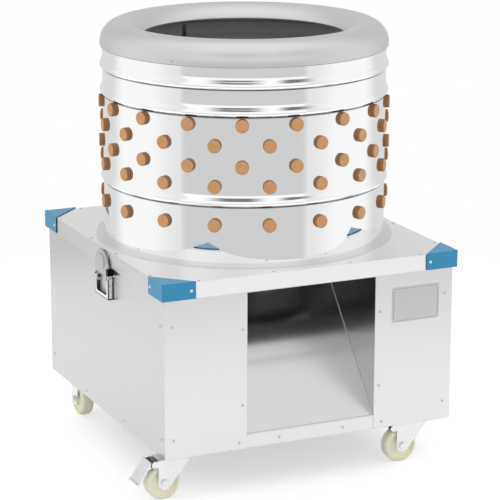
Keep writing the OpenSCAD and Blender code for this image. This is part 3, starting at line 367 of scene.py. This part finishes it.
FINISHES = {
    "satin": surface("satin_sheet", STEEL, 0.30, grain=ALONG_X, **SHEET),
    # Side panels: the same sheet as the front, brushed along Y and painted darker as shade
    "satin_shaded_side": surface("satin_shaded_side", (0.62, 0.62, 0.625), 0.32, grain=ALONG_Y, **SHEET),
    "lid": surface("lid_sheet", (0.90, 0.90, 0.905), 0.42, grain=ALONG_X, paint=shaded_left_skirt, **SHEET),
    "flange": surface("flange_sheet", STEEL, 0.34, metal=1.0, tint=0.01, cloud=5.0, bump=0.02, vary=0.02,
                      edge=0.0008),
    "chute": surface("chute_sheet", (0.54, 0.54, 0.545), 0.20, grain=(9.0, 700.0, 9.0), bump=0.03, **CHUTE),
    "slide": surface("chute_floor_sheet", (0.69, 0.69, 0.695), 0.22, grain=(700.0, 9.0, 9.0), bump=0.012,
                     brush=(1.0, 0.0, 0.0), **CHUTE),
    "strip": surface("edge_strip", (0.86, 0.86, 0.865), 0.50, metal=0.35, tint=0.03, cloud=20.0, bump=0.03),
    "mirror": surface("polished_sheet", (0.93, 0.93, 0.935), 0.035, metal=1.0, tint=0.01, cloud=3.0,
                      grain=(3.0, 3.0, 14.0), bump=0.02, vary=0.015, depth=0.001, paint=bead_crease_shade),
    "ring": surface("ring_sheet", (0.665, 0.665, 0.67), 0.40, metal=1.0, tint=0.01, cloud=3.0, fine=160.0,
                    bump=0.008, vary=0.02, paint=ring_foot_shadow),
    "inside": surface("drum_inside", (0.50, 0.527, 0.555), 0.45, metal=0.2, tint=0.04, cloud=6.0,
                      grain=(4.0, 4.0, 60.0), bump=0.02, vary=0.04),
    # Dark base colour: painted shade under the drum's floor
    "floor_sheet": surface("drum_floor_sheet", (0.07, 0.07, 0.072), 0.16, metal=1.0, tint=0.04, cloud=6.0,
                           bump=0.02, vary=0.04, paint=floor_light_and_shade),
    # Dark base colour: painted shade under the rotor's plate
    "rotor": surface("rotor_sheet", (0.10, 0.10, 0.103), 0.36, metal=1.0, cloud=8.0, bump=0.03, vary=0.04,
                     paint=rotor_underside_shade),
    "frame": surface("frame_steel", (0.93, 0.935, 0.94), 0.20, metal=1.0, tint=0.03, cloud=8.0, edge=0.001),
    "zinc": surface("zinc_steel", (0.77, 0.775, 0.78), 0.26, **CASTER),
    "pedal": surface("pedal_steel", (0.83, 0.835, 0.84), 0.26, paint=black_pivot, **CASTER),
    "latch": surface("latch_steel", (0.54, 0.545, 0.55), 0.32, metal=1.0, bump=0.04, vary=0.08, edge=0.0006,
                     paint=black_tab, **PLATED),
    "lever": surface("lever_steel", (0.82, 0.825, 0.83), 0.30, metal=1.0, bump=0.04, vary=0.06,
                     paint=lever_painted_shade, **PLATED),
    "latch_plate": surface("latch_plate_steel", (0.80, 0.805, 0.81), 0.45, metal=0.4, bump=0.04, edge=0.0006,
                           **PLATED),
    "bright": surface("bright_steel", (0.74, 0.74, 0.75), 0.22, metal=1.0, cloud=40.0, bump=0.04,
                      edge=0.0005),
    "iron": surface("cast_iron", (0.16, 0.165, 0.17), 0.55, metal=0.7, tint=0.12, cloud=20.0, fine=350.0,
                    bump=0.25, edge=0.0012),
    "motor": surface("motor_paint", (0.13, 0.19, 0.27), 0.40, tint=0.08, cloud=14.0, fine=500.0, bump=0.12,
                     edge=0.0015),
    "black_rubber": surface("black_rubber", (0.018, 0.018, 0.019), 0.65, tint=0.15, cloud=20.0, fine=500.0,
                            bump=0.2),
    "finger": surface("finger_rubber", (0.66, 0.345, 0.150), 0.50, tint=0.08, cloud=45.0, fine=420.0,
                      bump=0.18, vary=0.08, spots=((0.55, 0.27, 0.11), 120.0, 0.56, 0.74), spec=0.35,
                      paint=dark_flanks),
    "blue": surface("blue_cap", (0.029, 0.285, 0.525), 0.34, cloud=18.0, fine=900.0, bump=0.10, edge=0.0012,
                    spec=0.45, paint=shaded_cap_edges),
    "nylon": surface("nylon_wheel", (0.97, 0.955, 0.74), 0.38, tint=0.04, cloud=25.0, fine=300.0, edge=0.001,
                     spots=((0.90, 0.87, 0.62), 60.0, 0.55, 0.75)),
    "grey": surface("grey_plastic", (0.05, 0.052, 0.055), 0.50, tint=0.06, cloud=25.0, fine=900.0, bump=0.15,
                    edge=0.0015),
    "black": surface("black_plastic", (0.015, 0.015, 0.016), 0.45, tint=0.10, cloud=25.0, fine=900.0,
                     bump=0.12, edge=0.0008),
    "green": surface("green_button", (0.02, 0.24, 0.06), 0.30, **BUTTON),
    "red": surface("red_button", (0.42, 0.02, 0.018), 0.30, **BUTTON),
    "plate": surface("data_plate", BARE, 0.40, metal=0.9, tint=0.02, cloud=12.0, grain=(8.0, 8.0, 1200.0),
                     bump=0.03, paint=plate_frame),
    "rivet": surface("lid_rivet", (0.52, 0.52, 0.525), 0.30, metal=1.0, cloud=60.0, bump=0.05),
    "weld": surface("weld_seam", (0.20, 0.20, 0.205), 0.35, metal=1.0, tint=0.15, cloud=60.0, fine=300.0,
                    bump=0.3),
    # Painted shade standing in for the screws' cross recesses
    "slot_shade": surface("screw_recess", (0.22, 0.22, 0.225), 0.5, metal=0.6, tint=0.1, cloud=80.0, bump=0.1),
}

USES = {
    "satin": "back_panel front_left_panel front_right_panel front_sill front_header",
    "satin_shaded_side": "left_panel right_panel",
    "lid": "lid",
    "flange": "drum_flange",
    "chute": "chute_sides",
    "slide": "chute_floor",
    "mirror": "drum_shell",
    "ring": "top_ring",
    "floor_sheet": "drum_floor",
    "rotor": "rotor_plate",
    "frame": "bottom_frame corner_posts top_frame bearing_bridge motor_bridge",
    "zinc": "hinge_leaves lid_hinge_leaves caster_plates rear_forks left_fork right_fork",
    "pedal": "left_pedal right_pedal",
    "latch": "latch_claw latch_keeper",
    "lever": "latch_lever",
    "latch_plate": "latch_base",
    "bright": "panel_screws cap_rivets shaft_bearings rotor_shaft rotor_nut",
    "iron": "bearing_housing driven_pulley motor_pulley rotor_hub",
    "motor": "motor",
    "black_rubber": "lid_seal drive_belt",
    "finger": "finger_row_a finger_row_b finger_row_c finger_row_d finger_row_e rotor_fingers",
    "blue": "corner_caps",
    "nylon": "front_wheel_left front_wheel_right rear_wheel_left rear_wheel_right",
    "grey": "switch_box",
    "black": "cable_gland",
    "green": "start_button",
    "red": "stop_button",
}
for finish, names in USES.items():
    for name in names.split():
        mesh = nodes[name].data
        mesh.materials.clear()
        mesh.materials.append(FINISHES[finish])


def piece(name, bm, finish, body):
    """A finished mesh object that rides on a body."""
    bmesh.ops.recalc_face_normals(bm, faces=bm.faces)
    mesh = bpy.data.meshes.new(name)
    bm.to_mesh(mesh)
    bm.free()
    mesh.shade_smooth()
    mesh.set_sharp_from_angle(angle=math.radians(35.0))
    mesh.materials.append(FINISHES[finish])
    obj = bpy.data.objects.new(name, mesh)
    scene.collection.objects.link(obj)
    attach(obj, body)
    return obj


def dress_inside(obj, is_inside):
    """Gives a turned piece's inner faces, chosen by reach and normal, a finish of their own."""
    obj.data.materials.append(FINISHES["inside"])
    for face in obj.data.polygons:
        reach = math.hypot(face.center.x, face.center.y)
        outward = (face.normal.x * face.center.x + face.normal.y * face.center.y) / reach
        if is_inside(reach, outward, face.normal.z):
            face.material_index = 1


def turned(bm, profile, steps, place=Matrix()):
    """Copies of a profile of (radius, height) points, set round +Z."""
    rows = []
    for i in range(steps):
        t = 2.0 * math.pi * i / steps
        points = [Vector((r * math.cos(t), r * math.sin(t), z)) for r, z in profile]
        rows.append([bm.verts.new(place @ p) for p in points])
    return rows


def skin(bm, pairs, loop=True):
    """Faces between the two rows of each pair, along rows that close into a loop or stay open."""
    for a, b in pairs:
        count = len(a)
        for j in range(count if loop else count - 1):
            k = (j + 1) % count
            bm.faces.new((a[j], b[j], b[k], a[k]))


def all_round(rows):
    """Each row with the next one, and the last with the first."""
    return zip(rows, rows[1:] + rows[:1])


def dome(bm, place, radius, height):
    """A low domed head that stands on its base, placed by a matrix."""
    profile = [(radius, 0.0), (radius, 0.45 * height)]
    profile += [(radius * math.cos(t), height * (0.45 + 0.55 * math.sin(t))) for t in (0.35, 0.75, 1.15)]
    profile.append((0.0002 * radius, height))
    rows = turned(bm, profile, 20, place)
    skin(bm, all_round(rows), loop=False)
    bm.faces.new([row[-1] for row in rows])
    bm.faces.new([row[0] for row in reversed(rows)])


def block(bm, place, size):
    """A box centred on its place."""
    bmesh.ops.create_cube(bm, size=1.0, matrix=place @ Matrix.Diagonal((*size, 1.0)))


def facing(point, normal):
    """A matrix with its origin at a point and +Z along a normal."""
    return Matrix.Translation(point) @ Vector(normal).to_track_quat("Z", "Y").to_matrix().to_4x4()


def arc(center, radius, start, end, steps):
    """Points on an arc in (radius, height), with angles in degrees from outward."""
    points = []
    for i in range(steps + 1):
        t = math.radians(start + (end - start) * i / steps)
        points.append((center[0] + radius * math.cos(t), center[1] + radius * math.sin(t)))
    return points


def bulge(z):
    """How far the wall stands out at a height above the lid: soft above a bead, sharp below it."""
    for middle in BEADS:
        s = 2.0 * (z - middle) / BEAD_W
        if BEAD_SKEW < s < 1.0:
            return BEAD_OUT * (1.0 + math.cos(math.pi * (s - BEAD_SKEW) / (1.0 - BEAD_SKEW))) / 2.0
        if -1.0 < s <= BEAD_SKEW:
            return BEAD_OUT * (1.0 - ((BEAD_SKEW - s) / (1.0 + BEAD_SKEW)) ** 2)
    return 0.0


def bead_levels():
    """Heights above the lid at which the beads are drawn."""
    levels = []
    for middle in BEADS:
        levels += [middle + BEAD_W * (i / BEAD_STEPS - 0.5) for i in range(BEAD_STEPS + 1)]
    return levels


# Drum wall, turned finely so that it mirrors cleanly
levels = [0.0] + bead_levels() + [DRUM_H]
outer = [(DRUM_R + bulge(z), LID_Z + z) for z in levels]
inner = [(DRUM_R - WALL + bulge(z), LID_Z + z) for z in reversed(levels)]
bm = bmesh.new()
skin(bm, all_round(turned(bm, outer + inner, 288)))
drum = piece("drum_wall", bm, "mirror", "drum_lid")
dress_inside(drum, lambda reach, outward, up: outward < -1e-3)
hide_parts("drum_shell")


def ring_profile():
    """Lip with a rolled foot, round shoulder, slope into the throat and a rolled throat edge."""
    shoulder = RING_R - CREST_R
    crest = RING_Z + RING_LIP + shoulder
    run = CREST_R - THROAT_R
    drop = DISH * run
    slope = (run * run + drop * drop) / (2.0 * drop)
    tilt = math.degrees(math.asin(run / slope))
    throat = (THROAT_R + ROLL, crest - drop - ROLL / 2.0)
    points = [(DRUM_R - WALL, RING_Z + WALL), (DRUM_R - WALL, RING_Z)]
    points += arc((RING_R - ROLL, RING_Z + ROLL), ROLL, -90.0, 0.0, 6)
    points += arc((CREST_R, crest - shoulder), shoulder, 0.0, 90.0, 28)
    points += arc((CREST_R, crest - slope), slope, 90.0, 88.0 + tilt, 28)[1:]
    points += arc(throat, ROLL, 150.0, 330.0, 10)
    points += arc((CREST_R, crest - slope), slope - WALL, 86.0 + tilt, 90.0, 14)
    points += arc((CREST_R, crest - shoulder), shoulder - WALL, 90.0, 0.0, 14)[1:]
    points.append((RING_R - WALL, RING_Z + WALL))
    return points


# Top ring, with its underside dressed like the drum's inside
bm = bmesh.new()
skin(bm, all_round(turned(bm, ring_profile(), 240)))
ring = piece("ring_sheet", bm, "ring", "drum_lid")
dress_inside(ring, lambda reach, outward, up: up < 0.02 and THROAT_R + 0.008 < reach < RING_R - 0.0015)
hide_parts("top_ring")


def screw_places():
    """The cabinet's screws, as points with outward normals."""
    high, low, foot = SKIRT_Z - 0.057, CAB_Z + 0.040, CAB_Z + 0.014
    front = [(HALF_W - SCREW_EDGE, high), (HALF_W - SCREW_EDGE, low), (OUTLET_SCREW_X, SKIRT_Z - 0.080),
             (OUTLET_SCREW_X, CAB_Z + 0.095), (OUTLET_SCREW_X + 0.007, foot)]
    places = []
    for side in (-1.0, 1.0):
        places += [((side * x, -HALF_D, z), (0, -1, 0)) for x, z in front]
        places.append(((side * SILL_SCREW_X, SILL_Y, foot), (0, -1, 0)))
        for y in (SCREW_EDGE - HALF_D, HALF_D - SCREW_EDGE):
            places += [((side * HALF_W, y, z), (side, 0, 0)) for z in (high, low)]
        places += [((side * HALF_W, y, foot), (side, 0, 0)) for y in (-HALF_D / 3.0, HALF_D / 3.0)]
        places += [((side * (HALF_W - SCREW_EDGE), HALF_D, z), (0, 1, 0)) for z in (high, low)]
    return places


# Screw heads with cross slots, the slots drawn as thin dark boxes of painted shade
heads, slots = bmesh.new(), bmesh.new()
for point, normal in screw_places():
    place = facing(point, normal)
    dome(heads, place, SCREW_R, SCREW_H)
    for turn in SLOT_TURNS:
        top = place @ Matrix.Translation((0.0, 0.0, SCREW_H)) @ Matrix.Rotation(math.radians(turn), 4, "Z")
        block(slots, top, SLOT_SIZE)
screws = piece("screw_heads", heads, "bright", "base")
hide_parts("panel_screws")
piece("screw_slots", slots, "slot_shade", "base")

# Small rivets on the lid's top and on the ring's lip
bm = bmesh.new()
for x, y in LID_RIVETS:
    for sx in (-1.0, 1.0):
        for sy in (-1.0, 1.0):
            dome(bm, Matrix.Translation((sx * x, sy * y, LID_Z)), LID_RIVET_R, LID_RIVET_H)
for turn in RIM_RIVETS:
    t = math.radians(turn)
    out = Vector((math.sin(t), -math.cos(t), 0.0))
    spot = out * (RING_R - RIM_RIVET_SUNK) + Vector((0.0, 0.0, RING_Z + RIM_RIVET_UP))
    dome(bm, facing(spot, out), RIM_RIVET_R, RIM_RIVET_H)
piece("lid_rivets", bm, "rivet", "drum_lid")

# Weld seam up the inside of the drum, at its back, that follows the beads
half_section = ((-1.0, SEAM_ROOT), (-1.0, 0.0), (-0.6, -0.7 * SEAM_T))
section = half_section + ((0.0, -SEAM_T),) + tuple((-u, out) for u, out in reversed(half_section))
bm = bmesh.new()
rows = []
for z in [SEAM_FOOT] + bead_levels() + [DRUM_H - SEAM_HEAD]:
    face = DRUM_R - WALL + bulge(z)
    row = []
    for u, out in section:
        t = SEAM_MID + u * SEAM_HALF
        row.append(bm.verts.new(((face + out) * math.cos(t), (face + out) * math.sin(t), LID_Z + z)))
    rows.append(row)
skin(bm, zip(rows, rows[1:]))
bm.faces.new(rows[0])
bm.faces.new(rows[-1])
piece("drum_seam", bm, "weld", "drum_lid")

# Edge strip on the chute's front lip
bm = bmesh.new()
block(bm, Matrix.Translation(LIP_MID), LIP_SIZE)
bmesh.ops.bevel(bm, geom=bm.edges[:], offset=LIP_ROUND, segments=3, affect="EDGES")
piece("chute_lip", bm, "strip", "base")

# Rippled weld beads along the chute's sides
bm = bmesh.new()
for side in (-1, 1):
    x = side * (CHUTE_X - WELD_IN)
    start = Vector((x, *CHUTE_FOOT))
    along = Vector((x, *CHUTE_HEAD)) - start
    profile = []
    for i in range(WELD_STEPS + 1):
        profile.append((WELD_R + WELD_RIPPLE * (i % 2), along.length * i / WELD_STEPS))
    rows = turned(bm, profile, 8, facing(start, along))
    skin(bm, all_round(rows), loop=False)
piece("chute_welds", bm, "strip", "base")

# Bare data plate with rivets, on the front's right panel
bm = bmesh.new()
block(bm, Matrix.Translation((PLATE_X, -HALF_D - PLATE_T / 2.0, PLATE_Z)), (PLATE_W, PLATE_T, PLATE_H))
corners = [e for e in bm.edges if abs(e.verts[0].co.y - e.verts[1].co.y) > 1e-5]
bmesh.ops.bevel(bm, geom=corners, offset=PLATE_ROUND, segments=4, affect="EDGES")
piece("data_plate", bm, "plate", "base")
bm = bmesh.new()
for sx in (-1.0, 1.0):
    for sz in (-1.0, 1.0):
        x = PLATE_X + sx * (PLATE_W / 2.0 - PLATE_RIVET_IN)
        z = PLATE_Z + sz * (PLATE_H / 2.0 - PLATE_RIVET_IN)
        dome(bm, facing((x, -HALF_D - PLATE_T, z), (0, -1, 0)), PLATE_RIVET_R, PLATE_RIVET_H)
piece("plate_rivets", bm, "bright", "base")

# Camera at the photograph's angle
flat = math.cos(CAM_EL)
back = Vector((math.sin(CAM_AZ) * flat, -math.cos(CAM_AZ) * flat, math.sin(CAM_EL)))
cam = bpy.data.objects.new("camera", bpy.data.cameras.new("camera"))
scene.collection.objects.link(cam)
cam.data.sensor_width = SENSOR
cam.data.lens = SENSOR * FOCUS / PHOTO_SIDE
cam.data.clip_end = 60.0
cam.location = Vector(CAM_TARGET) + back * CAM_FAR
cam.rotation_mode = "QUATERNION"
roll = Matrix.Rotation(CAM_ROLL, 4, "Z").to_quaternion()
cam.rotation_quaternion = (-back).to_track_quat("-Z", "Y") @ roll
scene.camera = cam

# Pale floor that keeps a soft shadow
mat, graph = new_material("floor")
path = graph.add("ShaderNodeLightPath").outputs
seen = graph.larger(path["Is Camera Ray"], graph.larger(path["Is Glossy Ray"], path["Is Transmission Ray"]))
tone = graph.mix(graph.span(graph.noise(3.0), 0.0, 1.0), rgb(FLOOR_GREYS[0]), rgb(FLOOR_GREYS[1]))
matt = graph.add("ShaderNodeBsdfDiffuse", Color=tone)
glow = graph.add("ShaderNodeEmission", Strength=graph.times(seen, FLOOR_GLOW))
both = graph.add("ShaderNodeAddShader")
graph.fill(both, {0: matt.outputs[0], 1: glow.outputs[0]})
graph.add("ShaderNodeOutputMaterial", Surface=both.outputs[0])
bm = bmesh.new()
bmesh.ops.create_circle(bm, cap_ends=True, segments=96, radius=FLOOR_R)
mesh = bpy.data.meshes.new("floor")
bm.to_mesh(mesh)
bm.free()
mesh.materials.append(mat)
floor = bpy.data.objects.new("floor", mesh)
scene.collection.objects.link(floor)

# Soft studio light: pale walls and ceiling, a card with a grey foot behind the camera, two dark bars above it
world = bpy.data.worlds.new("studio")
scene.world = world
world.use_nodes = True
graph = Graph(world.node_tree)
x, y, height = graph.axes("Generated")
turn = graph.minus(graph.math("ARCTAN2", x, graph.times(y, -1.0)), CAM_AZ)
away = graph.math("ABSOLUTE", turn)


def between(start, full, fade, end):
    """One inside a range of turns, in degrees, and zero outside it, with soft ends."""
    rise = graph.ramp(turn, math.radians(start), math.radians(full))
    return graph.blend(graph.ramp(turn, math.radians(fade), math.radians(end)), rise, 0.0)


def past(start, end, low=0.0, high=1.0):
    """Runs from low to high between two turns away from the card's middle, in degrees."""
    return graph.ramp(away, math.radians(start), math.radians(end), low, high)


card = graph.blend(graph.ramp(height, -0.12, -0.02), CARD_FOOT, CARD)
walls = graph.blend(past(112.0, 135.0), past(53.0, 84.0, WALL_NEAR, WALL_SIDE), WALL_FAR)
around = graph.blend(past(47.0, 54.0), card, walls)
bar_height = graph.blend(graph.ramp(height, 0.64, 0.68), graph.ramp(height, 0.47, 0.56), 0.0)
bar_turns = graph.larger(between(-38.0, -14.0, 2.0, 24.0), between(26.0, 42.0, 47.0, 68.0))
around = graph.blend(graph.times(bar_height, bar_turns), around, BARS)
level = graph.blend(graph.ramp(height, 0.70, 0.97), around, CEILING)
rays = graph.add("ShaderNodeLightPath").outputs
power = graph.blend(rays["Is Camera Ray"], level, 1.0)
sky = graph.add("ShaderNodeBackground", Color=(1.0, 1.0, 1.0, 1.0), Strength=power)
graph.add("ShaderNodeOutputWorld", Surface=sky.outputs[0])

scene.view_settings.view_transform = "Standard"
